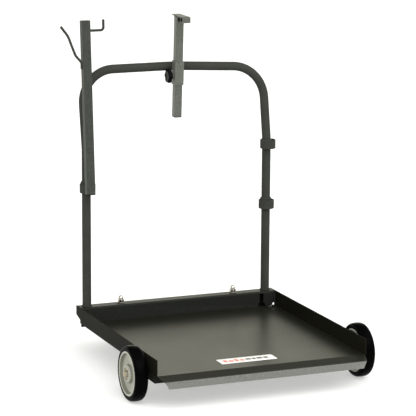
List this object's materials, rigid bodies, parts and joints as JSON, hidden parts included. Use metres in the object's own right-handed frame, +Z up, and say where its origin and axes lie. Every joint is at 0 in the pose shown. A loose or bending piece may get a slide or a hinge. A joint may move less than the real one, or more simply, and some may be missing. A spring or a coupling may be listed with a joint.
{
  "type": "drum trolley",
  "caption": "Four-wheeled drum trolley: low sheet-steel tray with a front ramp lip, tubular push frame, height-adjustable drum hook and a hook post for hose and gun.",
  "frame": {"origin": "middle of the top face of the tray floor", "axes": "+Z up, -Y towards the ramp edge where a drum is loaded, +X towards the right-hand wheel seen from the ramp"},
  "size_m": [0.7298, 0.7299, 0.975],
  "materials": {
    "black_powder_coat": "satin black powder coat",
    "gloss_black_paint": "semi-gloss black",
    "chrome": "polished",
    "zinc": "zinc plated",
    "rubber": "smooth black rubber",
    "grey_plastic": "satin light grey",
    "black_plastic": "satin black",
    "label": "satin white"
  },
  "bodies": {
    "chassis": {"castor_race_left": "zinc", "castor_race_right": "zinc", "castor_spacer_left": "black_powder_coat", "castor_spacer_right": "black_powder_coat", "castor_stem_left": "zinc", "castor_stem_right": "zinc", "clamp_boss": "black_powder_coat", "clamp_sleeve": "black_powder_coat", "dome_nut_left": "chrome", "dome_nut_right": "chrome", "dome_nut_washer_left": "chrome", "dome_nut_washer_right": "chrome", "front_axle": "zinc", "front_axle_cap_left": "chrome", "front_axle_cap_right": "chrome", "front_cross_beam": "black_powder_coat", "front_spacer_left": "zinc", "front_spacer_right": "zinc", "front_washer_left": "zinc", "front_washer_right": "zinc", "gun_hook": "gloss_black_paint", "hook_post": "black_powder_coat", "hook_post_bottom_cap": "black_plastic", "hook_post_top_cap": "black_plastic", "hook_post_weld_plate": "black_powder_coat", "hose_hook": "gloss_black_paint", "push_frame": "gloss_black_paint", "rear_corner_bracket_left": "black_powder_coat", "rear_corner_bracket_right": "black_powder_coat", "rear_rail": "black_powder_coat", "ring_collar_left": "gloss_black_paint", "ring_collar_right_lower": "gloss_black_paint", "ring_collar_right_upper": "gloss_black_paint", "side_plate_left": "black_powder_coat", "side_plate_right": "black_powder_coat", "tray_floor": "black_powder_coat", "tray_label_plate": "label"},
    "drum_hook": {"drum_post": "black_powder_coat", "drum_post_bottom_cap": "black_plastic", "drum_hook_plate": "black_powder_coat"},
    "clamp": {"clamp_knob": "black_plastic", "clamp_screw": "zinc"},
    "front_wheel_left": {"front_tyre_left": "rubber", "front_rim_left": "grey_plastic", "front_bearing_outer_left": "zinc", "front_bearing_inner_left": "zinc"},
    "castor_left": {"castor_fork_left": "zinc", "castor_axle_bolt_left": "zinc", "castor_axle_nut_left": "zinc"},
    "castor_roller_left": {"castor_tyre_left": "rubber", "castor_wheel_left": "grey_plastic"},
    "front_wheel_right": {"front_tyre_right": "rubber", "front_rim_right": "grey_plastic", "front_bearing_outer_right": "zinc", "front_bearing_inner_right": "zinc"},
    "castor_right": {"castor_fork_right": "zinc", "castor_axle_bolt_right": "zinc", "castor_axle_nut_right": "zinc"},
    "castor_roller_right": {"castor_tyre_right": "rubber", "castor_wheel_right": "grey_plastic"}
  },
  "joints": [
    {"name": "drum_hook_slide", "type": "slide", "parent": "chassis", "child": "drum_hook", "axis": [0, -0.0523, 0.9986], "range_m": [-0.115, 0.1]},
    {"name": "clamp_turn", "type": "hinge", "parent": "chassis", "child": "clamp", "pos_m": [-0.026, 0.31887, 0.70421], "axis": [-1, 0, 0], "range_deg": [0, 540]},
    {"name": "front_wheel_left_spin", "type": "hinge", "parent": "chassis", "child": "front_wheel_left", "pos_m": [-0.338, -0.22, -0.0155], "axis": [1, 0, 0], "continuous": true},
    {"name": "castor_left_swivel", "type": "hinge", "parent": "chassis", "child": "castor_left", "pos_m": [-0.178, 0.3065, -0.01], "axis": [0, 0, 1], "continuous": true},
    {"name": "castor_left_spin", "type": "hinge", "parent": "castor_left", "child": "castor_roller_left", "pos_m": [-0.178, 0.3325, -0.0545], "axis": [1, 0, 0], "continuous": true},
    {"name": "front_wheel_right_spin", "type": "hinge", "parent": "chassis", "child": "front_wheel_right", "pos_m": [0.338, -0.22, -0.0155], "axis": [1, 0, 0], "continuous": true},
    {"name": "castor_right_swivel", "type": "hinge", "parent": "chassis", "child": "castor_right", "pos_m": [0.178, 0.3065, -0.01], "axis": [0, 0, 1], "continuous": true},
    {"name": "castor_right_spin", "type": "hinge", "parent": "castor_right", "child": "castor_roller_right", "pos_m": [0.178, 0.3325, -0.0545], "axis": [1, 0, 0], "continuous": true}
  ]
}
